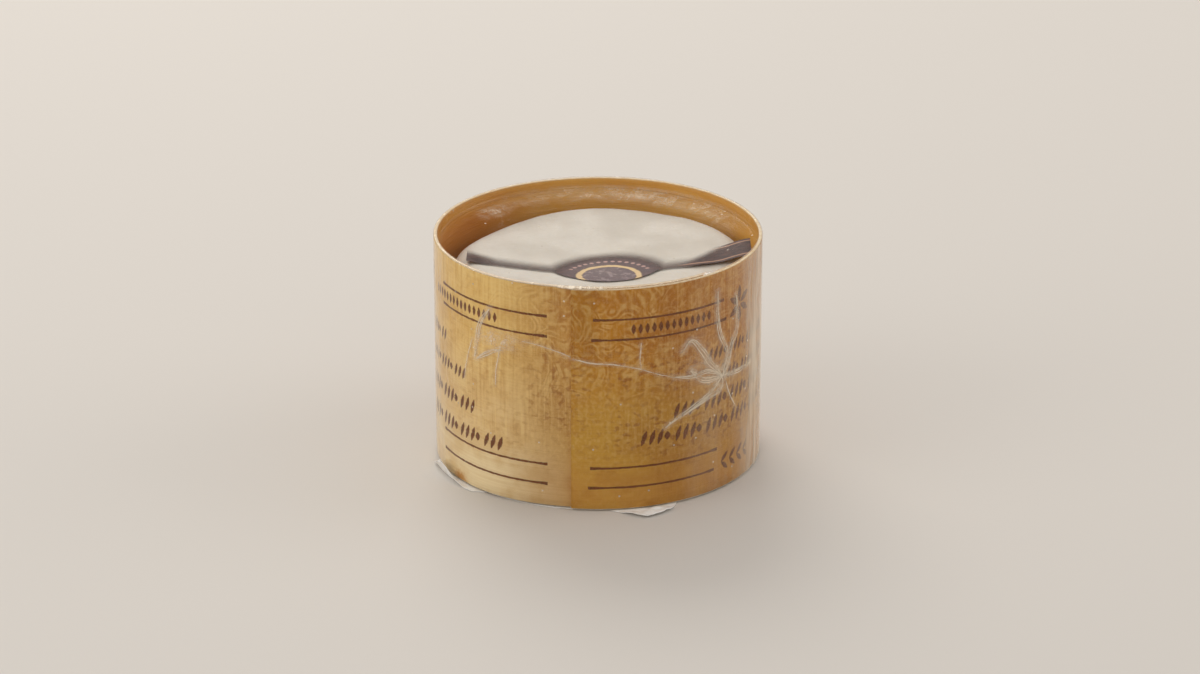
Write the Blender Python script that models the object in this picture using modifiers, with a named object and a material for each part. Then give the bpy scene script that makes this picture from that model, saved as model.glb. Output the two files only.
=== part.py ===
"""A small soft-ripened cheese in a bent-wood hoop, wrapped in clear film, on its paper underlabel.

Sizes are in millimetres and angles in degrees; a mesh or a modifier takes them in metres and radians.
The origin is at the hoop's centre, on the surface that the pack stands on. The front is -Y and +X is right.
Angles round the pack start at the front and grow towards +X.
"""
from math import asin, atan2, cos, degrees, pi, radians, sin, sqrt

import bmesh
import bpy

MM = 0.001

# Driving dimensions
HOOP_RADIUS = 40.0
HOOP_TOP = 56.9
VENEER = 0.75
LAP_EDGE_LEFT = 6.4
LAP_LENGTH = 34.0
CHEESE_RADIUS = 36.3
CHEESE_TOP = 51.2
PAPER = 0.2
FILM = 0.25
CLEAR = 0.3

# Hoop: one strip of veneer that runs once round and goes in under its own outer end
LAP_CLEAR = 0.15
LAP_STEP = VENEER + LAP_CLEAR
TUCK_LENGTH = 26.0
STRIP_PITCH = 3.6
HOOP_FOOT = PAPER + CLEAR
EDGE_WEAR = 0.12
RIM_DRIFT = 0.25
RIM_WAVE = 0.08

# Cheese: a drum with round shoulders and a shallow dish in its top
CHEESE_FOOT = PAPER + CLEAR
SHOULDER = 5.2
FOOT_ROUND = 3.5
DISH_RADIUS = 31.0
DISH_DEPTH = 1.5
CHEESE_STEPS = 60
CHEESE_X = 0.7
CHEESE_LEAN = 0.35
WAIST = 0.2
SIDE_UNEVEN = 0.3
TOP_UNEVEN = 0.2

# Label: a bowed band across the cheese with a round seal at its middle
LABEL = 0.3
BAND_WIDTH = 11.5
BAND_LEFT = -32.0
BAND_RIGHT = 37.3
BAND_MIDDLE_Y = -6.0
BAND_BOW_RIGHT = 150.0
BAND_BOW_LEFT = 90.0
BAND_TURN = 0.03
BAND_LIFT_LEFT = 0.5
BAND_LIFT_RIGHT = 1.5
BAND_LIFT_START = 28.0
SEAL_X = 1.7
SEAL_Y = -3.6
SEAL_RADIUS = 14.6

# Film: a hood down to the foot that clings to both sides of the rim and lies over label and cheese
FILM_RADIUS = HOOP_RADIUS + CLEAR
FILM_RIM = HOOP_TOP + 0.45
FILM_RIM_ROUND = 0.4
FILM_WALL_RADIUS = HOOP_RADIUS - VENEER - CLEAR
FILM_WALL_FOOT = 54.9
FILM_WALL_FILLET = 0.4
FILM_CORNER_RADIUS = 37.2
FILM_CORNER = 54.1
FILM_REST_RADIUS = 30.0
FILM_OVER_CHEESE = 1.1
FILM_STEPS = 72
FILM_BRIDGE_END = 1.5
FILM_BRIDGE = 5.0

# Paper underlabel: hidden under the hoop but for a pointed tab in front and an edge curled up on the left
PAPER_RADIUS = 39.2
PAPER_BEND_RADIUS = HOOP_RADIUS + 1.0
PAPER_PITCH = 3.0
PAPER_RINGS = (0.0, 0.3, 0.65, 1.0)
EDGE_STRIP = 1.0
FRONT_TAB = ((4.0, 39.2), (15.0, 45.8), (24.0, 43.4), (29.0, 39.2))
LEFT_CURL = ((-79.0, 39.2), (-74.0, 41.9), (-48.0, 41.9), (-43.0, 39.2))
CURL_MIDDLE = -65.0
CURL_REACH = 14.0
CURL_RISE_LENGTH = 0.9
CURL_LIFT = 2.6
HUMP_MIDDLE = 19.0
HUMP_REACH = 5.0
HUMP_LENGTH = 1.4
HUMP_LIFT = 1.2


def start_clean():
    """Removes what is in the scene and returns a collection for the pack's pieces."""
    for old in list(bpy.data.objects):
        bpy.data.objects.remove(old, do_unlink=True)
    pieces = bpy.data.collections.new("wrapped_cheese")
    bpy.context.scene.collection.children.link(pieces)
    return pieces


def material(name, colour, roughness, alpha=1.0):
    """A Principled material with a plain colour."""
    made = bpy.data.materials.new(name)
    made.use_nodes = True
    shader = made.node_tree.nodes["Principled BSDF"]
    shader.inputs["Base Color"].default_value = (*colour, 1.0)
    shader.inputs["Roughness"].default_value = roughness
    shader.inputs["Metallic"].default_value = 0.0
    shader.inputs["Alpha"].default_value = alpha
    return made


def add_piece(name, bm, collection, finish):
    """Makes an object from a bmesh whose points are in millimetres."""
    bmesh.ops.scale(bm, vec=(MM, MM, MM), verts=bm.verts)
    mesh = bpy.data.meshes.new(name)
    bm.to_mesh(mesh)
    bm.free()
    mesh.shade_smooth()
    mesh.materials.append(finish)
    piece = bpy.data.objects.new(name, mesh)
    collection.objects.link(piece)
    return piece


def thicken(piece, thickness, offset):
    """Gives an open sheet its thickness."""
    wall = piece.modifiers.new("thickness", "SOLIDIFY")
    wall.thickness = thickness * MM
    wall.offset = offset
    wall.use_even_offset = True


def turn(piece, steps):
    """Turns a profile in the XZ plane round the Z axis."""
    screw = piece.modifiers.new("turned", "SCREW")
    screw.axis = "Z"
    screw.steps = steps
    screw.render_steps = steps
    screw.use_merge_vertices = True
    screw.merge_threshold = 0.00001


def round_place(angle, radius):
    """X and Y at an angle from the front and a distance from the axis."""
    return radius * sin(radians(angle)), -radius * cos(radians(angle))


def ease(x):
    """0 below 0, 1 above 1 and a smooth step between."""
    x = min(max(x, 0.0), 1.0)
    return x * x * (3.0 - 2.0 * x)


def bump(x, middle, reach):
    """A smooth bump of height 1, gone at reach from its middle."""
    return ease(1.0 - abs(x - middle) / reach)


def along(points, x):
    """The height at x of the line through the points."""
    for (x0, y0), (x1, y1) in zip(points, points[1:]):
        if x0 <= x <= x1:
            return y0 + (y1 - y0) * (x - x0) / (x1 - x0)
    return points[0][1]


def arc(centre_r, centre_z, radius, start, end, count):
    """Points of an arc in the profile plane, with angles from +X towards +Z."""
    turns = [radians(start + (end - start) * i / count) for i in range(count + 1)]
    return [(centre_r + radius * cos(t), centre_z + radius * sin(t)) for t in turns]


def profile_mesh(points):
    """A bmesh with one open line of edges through the profile's points."""
    bm = bmesh.new()
    verts = [bm.verts.new((r, 0.0, z)) for r, z in points]
    for a, b in zip(verts, verts[1:]):
        bm.edges.new((a, b))
    return bm


def turned_mesh(name, points, steps, finish):
    """The mesh of a profile turned round the axis, free of its modifier, for shaping point by point."""
    scratch = bpy.context.scene.collection
    turned = add_piece(name, profile_mesh(points), scratch, finish)
    turn(turned, steps)
    bpy.context.view_layer.update()
    seen = turned.evaluated_get(bpy.context.evaluated_depsgraph_get())
    mesh = bpy.data.meshes.new_from_object(seen)
    bpy.data.objects.remove(turned, do_unlink=True)
    mesh.name = name
    return mesh


def lap_angle():
    """Where the strip's outer end shows, in degrees from the front."""
    return -degrees(asin(LAP_EDGE_LEFT / HOOP_RADIUS))


def tuck(run):
    """How far the strip lies inside the full radius at a run of degrees from its outer end."""
    length = degrees(TUCK_LENGTH / HOOP_RADIUS)
    return LAP_STEP * ease((run - 360.0 + length) / length)


def strip_top(angle, share):
    """The cut edge of the strip: it drifts up along its length and isn't quite straight."""
    return HOOP_TOP + RIM_DRIFT * (share - 0.5) + RIM_WAVE * sin(radians(3 * angle + 40))


def make_hoop(collection, finish):
    """The bent strip, with its outer end at the front and its inner end hidden under the lap."""
    first = lap_angle()
    whole = 360.0 + degrees(LAP_LENGTH / HOOP_RADIUS)
    count = round(whole / STRIP_PITCH)
    bm = bmesh.new()
    foot, top = [], []
    for i in range(count + 1):
        run = whole * i / count
        x, y = round_place(first + run, HOOP_RADIUS - VENEER / 2 - tuck(run))
        foot.append(bm.verts.new((x, y, HOOP_FOOT)))
        top.append(bm.verts.new((x, y, strip_top(first + run, i / count))))
    for i in range(count):
        bm.faces.new((foot[i], foot[i + 1], top[i + 1], top[i]))
    hoop = add_piece("wooden_hoop", bm, collection, finish)
    thicken(hoop, VENEER, 0.0)
    wear = hoop.modifiers.new("worn_edges", "BEVEL")
    wear.width = EDGE_WEAR * MM
    wear.segments = 1
    wear.limit_method = "ANGLE"
    wear.angle_limit = radians(60)


def dish(radius):
    """How far the top of the cheese lies below its edge."""
    share = min(radius / DISH_RADIUS, 1.0)
    return DISH_DEPTH * (1.0 - share * share) ** 2


def top_unevenness(x, y):
    """Slow rises and dips of the cheese's top, and its lean to the left, in millimetres."""
    waves = sin(0.11 * x + 0.6) * cos(0.13 * y - 0.4) + 0.4 * sin(0.23 * x - 0.17 * y)
    return TOP_UNEVEN * waves + CHEESE_LEAN * x / CHEESE_RADIUS


def cheese_surface(x, y):
    """Height of the cheese's top at a place inside its shoulder."""
    return CHEESE_TOP - dish(sqrt(x * x + y * y)) + top_unevenness(x, y)


def make_cheese(collection, finish):
    """The drum, turned from its profile and then made a little uneven."""
    flat = CHEESE_RADIUS - SHOULDER
    rings = 7
    profile = [(flat * i / rings, CHEESE_TOP - dish(flat * i / rings)) for i in range(rings)]
    profile += arc(flat, CHEESE_TOP - SHOULDER, SHOULDER, 90, 0, 5)
    middle = (CHEESE_TOP + CHEESE_FOOT) / 2
    profile += [(CHEESE_RADIUS - WAIST, middle)]
    profile += arc(CHEESE_RADIUS - FOOT_ROUND, CHEESE_FOOT + FOOT_ROUND, FOOT_ROUND, 0, -90, 3)
    profile += [(0.0, CHEESE_FOOT)]
    mesh = turned_mesh("cheese", profile, CHEESE_STEPS, finish)
    for vert in mesh.vertices:
        x, y, z = vert.co / MM
        height = ease((z - CHEESE_FOOT) / (CHEESE_TOP - CHEESE_FOOT))
        swell = SIDE_UNEVEN * (sin(0.09 * x + 0.07 * z) * cos(0.08 * y + 1.1)) / CHEESE_RADIUS
        vert.co.x += vert.co.x * swell + CHEESE_X * MM
        vert.co.y += vert.co.y * swell
        vert.co.z += top_unevenness(x, y) * height * MM
    cheese = bpy.data.objects.new("cheese", mesh)
    collection.objects.link(cheese)


def band_middle(x):
    """Y of the band's middle line: a gentle bow with its ends further back than its middle."""
    off = x - SEAL_X
    radius = BAND_BOW_LEFT if off < 0.0 else BAND_BOW_RIGHT
    return BAND_MIDDLE_Y + BAND_TURN * off + off ** 2 / (2 * radius)


def label_edges(x):
    """Front and rear edge of the label at x: the band, widened where the seal is."""
    front = band_middle(x) - BAND_WIDTH / 2
    rear = band_middle(x) + BAND_WIDTH / 2
    off = abs(x - SEAL_X)
    if off < SEAL_RADIUS:
        half = sqrt(SEAL_RADIUS ** 2 - off ** 2)
        front = min(front, SEAL_Y - half)
        rear = max(rear, SEAL_Y + half)
    return front, rear


def label_height(x, y):
    """Middle of the paper: it lies on the cheese, and its ends rise towards the hoop."""
    left = ease((-x - BAND_LIFT_START) / (-BAND_LEFT - BAND_LIFT_START))
    right = ease((x - BAND_LIFT_START) / (BAND_RIGHT - BAND_LIFT_START))
    lift = BAND_LIFT_LEFT * left + BAND_LIFT_RIGHT * right
    return cheese_surface(x, y) + CLEAR + LABEL / 2 + lift


def label_columns():
    """X places of the label's columns: even along the band, and closer round the seal's rim."""
    round_count = 16
    columns = [SEAL_X - SEAL_RADIUS * cos(pi * i / round_count) for i in range(round_count + 1)]
    for end, count in ((BAND_LEFT, 9), (BAND_RIGHT, 10)):
        side = columns[0] if end < SEAL_X else columns[round_count]
        columns += [side + (end - side) * i / count for i in range(1, count + 1)]
    return sorted(columns)


def make_label(collection, finish):
    """The paper label as a sheet of rows and columns between its two edges."""
    rows = 6
    bm = bmesh.new()
    grid = []
    for x in label_columns():
        front, rear = label_edges(x)
        ys = [front + (rear - front) * j / rows for j in range(rows + 1)]
        grid.append([bm.verts.new((x, y, label_height(x, y))) for y in ys])
    for one, two in zip(grid, grid[1:]):
        for j in range(rows):
            bm.faces.new((one[j], two[j], two[j + 1], one[j + 1]))
    label = add_piece("label", bm, collection, finish)
    thicken(label, LABEL, 0.0)


def film_profile():
    """The film's inner face from the middle of the top to the foot."""
    rest_rings, rise_rings = 5, 3
    rest = [FILM_REST_RADIUS * i / rest_rings for i in range(rest_rings + 1)]
    points = [(r, CHEESE_TOP - dish(r) + FILM_OVER_CHEESE) for r in rest]
    low = points[-1][1]
    for i in range(1, rise_rings + 1):
        share = i / rise_rings
        r = FILM_REST_RADIUS + (FILM_CORNER_RADIUS - FILM_REST_RADIUS) * share
        points.append((r, low + (FILM_CORNER - low) * share))
    points.append((FILM_WALL_RADIUS - FILM_WALL_FILLET, (FILM_CORNER + FILM_WALL_FOOT) / 2))
    points.append((FILM_WALL_RADIUS, FILM_WALL_FOOT))
    points += arc(FILM_WALL_RADIUS + FILM_RIM_ROUND, FILM_RIM - FILM_RIM_ROUND, FILM_RIM_ROUND, 180, 90, 2)
    points += arc(FILM_RADIUS - FILM_RIM_ROUND, FILM_RIM - FILM_RIM_ROUND, FILM_RIM_ROUND, 90, 0, 2)
    points += [(FILM_RADIUS, HOOP_FOOT)]
    return points


def film_tuck_outside(run):
    """Outside, the film follows the tucked strip and bridges the step where the lap ends."""
    bridge = ease((run - 360.0 + FILM_BRIDGE_END + FILM_BRIDGE) / FILM_BRIDGE)
    return tuck(run) * (1.0 - bridge)


def film_tuck_inside(run):
    """Inside, the film stays clear of the strip's inner end under the lap."""
    hidden = degrees(LAP_LENGTH / HOOP_RADIUS) + FILM_BRIDGE_END
    return max(tuck(run), LAP_STEP * ease((hidden + FILM_BRIDGE - run) / FILM_BRIDGE))


def make_film(collection, finish):
    """The clear wrap round the hoop and over its top."""
    mesh = turned_mesh("film_wrap", film_profile(), FILM_STEPS, finish)
    pitch = 360.0 / FILM_STEPS
    turn_on = (lap_angle() - FILM_BRIDGE_END) % pitch
    rim_middle = (FILM_WALL_RADIUS + FILM_RADIUS) / 2
    for vert in mesh.vertices:
        radius = sqrt(vert.co.x ** 2 + vert.co.y ** 2) / MM
        angle = degrees(atan2(vert.co.x, -vert.co.y)) + turn_on
        run = (angle - lap_angle()) % 360.0
        if radius > rim_middle:
            shift = film_tuck_outside(run)
        else:
            near_wall = ease((radius - FILM_REST_RADIUS) / (FILM_WALL_RADIUS - FILM_REST_RADIUS))
            shift = film_tuck_inside(run) * near_wall
        x, y = round_place(angle, radius - shift)
        vert.co.x = x * MM
        vert.co.y = y * MM
    film = bpy.data.objects.new("film_wrap", mesh)
    collection.objects.link(film)
    thicken(film, FILM, 1.0)


def paper_edge(angle):
    """Distance of the paper's cut edge from the axis."""
    return max(PAPER_RADIUS, along(FRONT_TAB, angle), along(LEFT_CURL, angle))


def paper_lift(angle, radius):
    """How far the paper's edge stands up outside the hoop."""
    risen = ease((radius - PAPER_BEND_RADIUS) / CURL_RISE_LENGTH)
    curl = CURL_LIFT * bump(angle, CURL_MIDDLE, CURL_REACH) * risen
    past = bump(radius, PAPER_BEND_RADIUS + HUMP_LENGTH, HUMP_LENGTH)
    hump = HUMP_LIFT * bump(angle, HUMP_MIDDLE, HUMP_REACH) * past
    return curl + hump


def make_paper(collection, finish):
    """The underlabel as rings of points round its centre."""
    count = round(360 / PAPER_PITCH)
    angles = [-180 + PAPER_PITCH * i for i in range(count)]
    bm = bmesh.new()
    centre = bm.verts.new((0.0, 0.0, PAPER / 2))
    rings = []
    for share in PAPER_RINGS:
        ring = []
        for angle in angles:
            inner = min(PAPER_BEND_RADIUS, paper_edge(angle) - EDGE_STRIP)
            radius = inner + (paper_edge(angle) - inner) * share
            x, y = round_place(angle, radius)
            ring.append(bm.verts.new((x, y, PAPER / 2 + paper_lift(angle, radius))))
        rings.append(ring)
    for i in range(count):
        bm.faces.new((centre, rings[0][i], rings[0][(i + 1) % count]))
    for one, two in zip(rings, rings[1:]):
        for i in range(count):
            nxt = (i + 1) % count
            bm.faces.new((one[i], two[i], two[nxt], one[nxt]))
    paper = add_piece("base_paper", bm, collection, finish)
    thicken(paper, PAPER, 0.0)


def main():
    """Builds the pack from the inside out."""
    pieces = start_clean()
    make_cheese(pieces, material("bloomy_rind", (0.70, 0.62, 0.52), 0.75))
    make_label(pieces, material("dark_label_paper", (0.06, 0.035, 0.045), 0.55))
    make_hoop(pieces, material("bent_veneer", (0.46, 0.27, 0.09), 0.55))
    make_paper(pieces, material("white_paper", (0.75, 0.73, 0.70), 0.6))
    make_film(pieces, material("clear_film", (0.85, 0.85, 0.85), 0.15, alpha=0.15))


main()
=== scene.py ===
"""Looks for a small soft-ripened cheese in a bent-wood hoop, wrapped in clear film on a paper underlabel.

Lengths are in millimetres and angles in degrees unless a name says otherwise. The frame has the origin
at the hoop's centre on the surface that the pack stands on, with the front at -Y and the right at +X.
Angles round the pack start at the front and grow towards +X. A place on the hoop's wall is given by its
arc from the front, growing to the right, and its height.
"""
from math import asin, cos, degrees, hypot, pi, radians, sin, sqrt

import bpy
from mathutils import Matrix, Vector, noise


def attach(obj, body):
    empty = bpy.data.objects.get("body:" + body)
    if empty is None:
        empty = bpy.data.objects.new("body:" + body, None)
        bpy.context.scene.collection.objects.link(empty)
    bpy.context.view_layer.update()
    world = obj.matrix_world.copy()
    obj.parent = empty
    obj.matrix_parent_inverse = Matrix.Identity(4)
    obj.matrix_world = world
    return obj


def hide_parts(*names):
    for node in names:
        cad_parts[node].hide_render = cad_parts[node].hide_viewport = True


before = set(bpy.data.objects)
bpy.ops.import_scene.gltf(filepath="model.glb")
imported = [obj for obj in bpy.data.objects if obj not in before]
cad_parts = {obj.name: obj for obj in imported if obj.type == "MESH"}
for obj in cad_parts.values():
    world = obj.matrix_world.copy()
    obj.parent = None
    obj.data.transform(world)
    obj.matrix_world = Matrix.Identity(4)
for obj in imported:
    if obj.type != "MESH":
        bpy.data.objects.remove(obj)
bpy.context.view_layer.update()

MM = 0.001

# Camera, at the photograph's distance and angle
VIEW_DISTANCE = 1009.7
VIEW_ELEVATION = 21.74
VIEW_HEIGHT = 27.0
LENS = 122.9
SHIFT_X = 0.0017
SHIFT_Y = 0.0067

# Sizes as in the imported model, but the edges are more worn and the film is one sheet, closer to the wood
HOOP_RADIUS = 40.0
HOOP_TOP = 56.9
VENEER = 0.75
LAP_EDGE_LEFT = 6.4
LAP_LENGTH = 34.0
LAP_STEP = 0.9
TUCK_LENGTH = 26.0
HOOP_FOOT = 0.5
EDGE_WEAR = 0.14
RIM_DRIFT = 0.25
RIM_WAVE = 0.08
CHEESE_RADIUS = 36.3
CHEESE_TOP = 51.2
CHEESE_FOOT = 0.5
SHOULDER = 5.2
FOOT_ROUND = 3.5
DISH_RADIUS = 31.0
DISH_DEPTH = 1.5
CHEESE_X = 0.7
CHEESE_LEAN = 0.35
TOP_UNEVEN = 0.2
BAND_WIDTH = 11.5
BAND_LEFT = -32.0
BAND_RIGHT = 37.3
BAND_MIDDLE_Y = -6.0
BAND_BOW_RIGHT = 150.0
BAND_BOW_LEFT = 90.0
BAND_TURN = 0.03
BAND_LIFT_LEFT = 0.5
BAND_LIFT_RIGHT = 1.5
BAND_LIFT_START = 28.0
SEAL_X = 1.7
SEAL_Y = -3.6
SEAL_RADIUS = 14.6
FILM_RADIUS = 40.12
FILM_RIM = 57.15
FILM_RIM_ROUND = 0.35
FILM_WALL_RADIUS = 39.1
FILM_WALL_FOOT = 55.4
FILM_CORNER_RADIUS = 36.6
FILM_CORNER = 53.9
FILM_REST_RADIUS = 30.0
FILM_OVER_CHEESE = 1.15
FILM_BRIDGE_END = 1.5
FILM_BRIDGE = 5.0
PAPER = 0.2
PAPER_RADIUS = 39.2
PAPER_BEND_RADIUS = 41.0
FRONT_TAB = ((4.0, 39.2), (15.0, 45.8), (24.0, 43.4), (29.0, 39.2))
LEFT_CURL = ((-79.0, 39.2), (-74.0, 41.9), (-48.0, 41.9), (-43.0, 39.2))
CURL_MIDDLE = -65.0
CURL_REACH = 14.0
CURL_RISE_LENGTH = 0.9
CURL_LIFT = 2.6
HUMP_MIDDLE = 19.0
HUMP_REACH = 5.0
HUMP_LENGTH = 1.4
HUMP_LIFT = 1.2

# The print on the hoop, as first and last arcs of rules and rows, with the heights that they stand at
RULE = 0.6
RULE_END = 4.0
RULE_PITCH = 0.7
RULE_HEIGHTS = (49.2, 44.1, 11.2, 6.1)
LEFT_RULE = (-48.0, -12.5)
RIGHT_RULES = ((-1.2, 34.0), (-1.6, 35.0), (-1.9, 32.0), (-2.4, 31.0))
CAP_HEIGHT = 46.6
CAP_ROWS = ((-52.0, -25.0), (8.5, 30.5))
CAP_PITCH = 1.7
CAP_LENGTH = 2.5
CAP_WIDTH = 1.25
LEAF_STEPS = 8
LARGE_GRAIN = 1.35
SMALL_GRAIN = 1.15
LARGE_BELOW = 25.0
GRAIN_ROWS = (
    (29.0, 57.0, 36.3), (34.0, 57.0, 30.2), (19.0, 57.0, 24.2), (10.5, 57.0, 18.3),
    (-57.0, -46.0, 36.0), (-57.0, -38.0, 29.0), (-57.0, -34.5, 21.5), (-57.0, -25.5, 14.3),
)
ROSETTES = (40.5, 103.0, 151.0)
ROSETTE_HEIGHT = 46.3
SPRIGS = (40.0, 103.0, 151.0)
SPRIG_HEIGHT = 7.2
BACK_PANELS = (60.0, 108.0, 156.0)
BACK_PANEL = 37.0
BACK_CAP_INSET = 4.0
BACK_GRAIN_INSET = 2.0
BACK_GRAIN_HEIGHTS = (36.3, 30.2, 24.2, 18.3)

# Colours of the hoop's wood: right of the seam by height, left of it, and what darkens or pales it. The left
# colours are the veneer's own paler tone past the seam plus painted light from the left, and the right
# multiply is painted shade
WOOD_HIGH = (202, 136, 10)
WOOD_MIDDLE = (206, 156, 52)
WOOD_LOW = (208, 154, 60)
WOOD_LEFT_LIT_HIGH = (242, 204, 124)
WOOD_LEFT_LIT_MIDDLE = (240, 208, 150)
WOOD_LEFT_LIT_LOW = (248, 226, 180)
WOOD_RIGHT_SHADE = (230, 218, 196)
WOOD_DEEP = (226, 204, 158)
WOOD_FLECK = (200, 162, 100)
WOOD_LAP = (196, 198, 176)
WOOD_STAIN = (216, 170, 88)
WOOD_PALE = (246, 216, 146)
STAIN_ARC = 218.0
STAIN_REACH = 4.0
STAIN_HEIGHT = 3.6
CURL_RINGS = 27.0

# Creases of the film on the wall: places along each, and its width
CREASES = (
    ((-18.7, 42.1, -12.6, 41.3, -6.7, 39.5, -1.9, 38.4, 3.0, 38.1, 8.9, 36.7, 14.6, 34.5, 18.8, 33.0), 0.5),
    ((21.2, 39.5, 23.5, 41.5, 26.5, 38.3, 29.5, 34.0, 33.5, 29.9), 0.9),
    ((33.5, 29.9, 27.3, 30.4, 23.2, 33.8), 0.8),
    ((18.8, 33.0, 23.9, 32.2, 28.4, 32.5, 33.5, 29.9), 0.6),
    ((31.6, 52.0, 31.6, 45.8, 32.5, 40.8, 35.1, 35.9, 34.3, 32.6, 33.5, 29.9), 0.7),
    ((38.7, 49.0, 39.3, 41.1, 37.0, 37.1, 35.7, 32.8, 33.5, 29.9), 0.8),
    ((33.5, 29.9, 38.1, 29.3, 46.4, 29.1), 0.6),
    ((33.5, 29.9, 29.6, 26.9, 24.0, 24.2, 19.5, 22.2, 16.5, 20.4), 0.6),
    ((33.5, 29.3, 32.8, 26.5, 28.1, 25.5, 22.7, 23.3), 0.6),
    ((34.4, 29.0, 36.3, 24.2, 39.3, 19.6), 0.5),
    ((-27.8, 48.6, -30.9, 44.3, -32.1, 39.8, -33.0, 34.8), 0.7),
    ((-24.8, 39.3, -25.9, 34.4, -26.3, 29.5), 0.5),
    ((-33.8, 39.3, -36.1, 32.6, -37.1, 28.1), 0.5),
    ((-32.2, 34.7, -28.0, 37.4, -24.5, 38.8), 0.6),
    ((10.3, 43.0, 10.0, 39.5, 10.3, 36.5), 0.5),
)


def round_place(angle, radius):
    """X and Y at an angle from the front and a distance from the axis."""
    return radius * sin(radians(angle)), -radius * cos(radians(angle))


def ease(x):
    """0 below 0, 1 above 1 and a smooth step between."""
    x = min(max(x, 0.0), 1.0)
    return x * x * (3.0 - 2.0 * x)


def bump(x, middle, reach):
    """A smooth bump of height 1, gone at reach from its middle."""
    return ease(1.0 - abs(x - middle) / reach)


def near(angle, middle, reach):
    """A smooth bump over the angles near a middle, the short way round."""
    return bump((angle - middle + 180.0) % 360.0, 180.0, reach)


def along(points, x):
    """The height at x of the line through the points."""
    for (x0, y0), (x1, y1) in zip(points, points[1:]):
        if x0 <= x <= x1:
            return y0 + (y1 - y0) * (x - x0) / (x1 - x0)
    return points[0][1]


def wander(x, y, z, size):
    """Smooth unevenness from -1 to 1 with waves about as long as size."""
    return noise.noise(Vector((x, y, z)) / size)


def linear(red, green, blue):
    """A scene colour from a screen colour in steps of 255."""
    shares = (c / 255.0 for c in (red, green, blue))
    return tuple(c / 12.92 if c < 0.04045 else ((c + 0.055) / 1.055) ** 2.4 for c in shares)


def new_mesh(name, points, faces, spots):
    """A smooth mesh, with a map in units of 100 mm that has a place for each corner of each face."""
    mesh = bpy.data.meshes.new(name)
    mesh.from_pydata(points, [], faces)
    layer = mesh.uv_layers.new(name="place")
    layer.data.foreach_set("uv", [c / 100.0 for spot in spots for c in spot])
    mesh.shade_smooth()
    mesh.update()
    return mesh


def carry(mesh, name, values):
    """Gives each point of a mesh a number that its material reads."""
    mesh.attributes.new(name, "FLOAT", "POINT").data.foreach_set("value", values)


def grid_mesh(name, rows, uv, closed=False):
    """A mesh through rows of points, where uv gives the map's place by row and column."""
    wide = len(rows[0])
    points = [Vector(p) * MM for row in rows for p in row]
    faces, spots = [], []
    for j in range(len(rows) - 1):
        for i in range(wide if closed else wide - 1):
            nxt = (i + 1) % wide
            faces.append((j * wide + i, j * wide + nxt, (j + 1) * wide + nxt, (j + 1) * wide + i))
            spots += [uv(j, i), uv(j, i + 1), uv(j + 1, i + 1), uv(j + 1, i)]
    return new_mesh(name, points, faces, spots)


def add_piece(name, mesh, materials, node=None):
    """Puts a mesh in the scene as a piece that rides with the pack and may stand for one of its nodes."""
    piece = bpy.data.objects.new(name, mesh)
    bpy.context.scene.collection.objects.link(piece)
    for worn in materials:
        mesh.materials.append(worn)
    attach(piece, "root")
    if node:
        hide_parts(node)
    return piece


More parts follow.
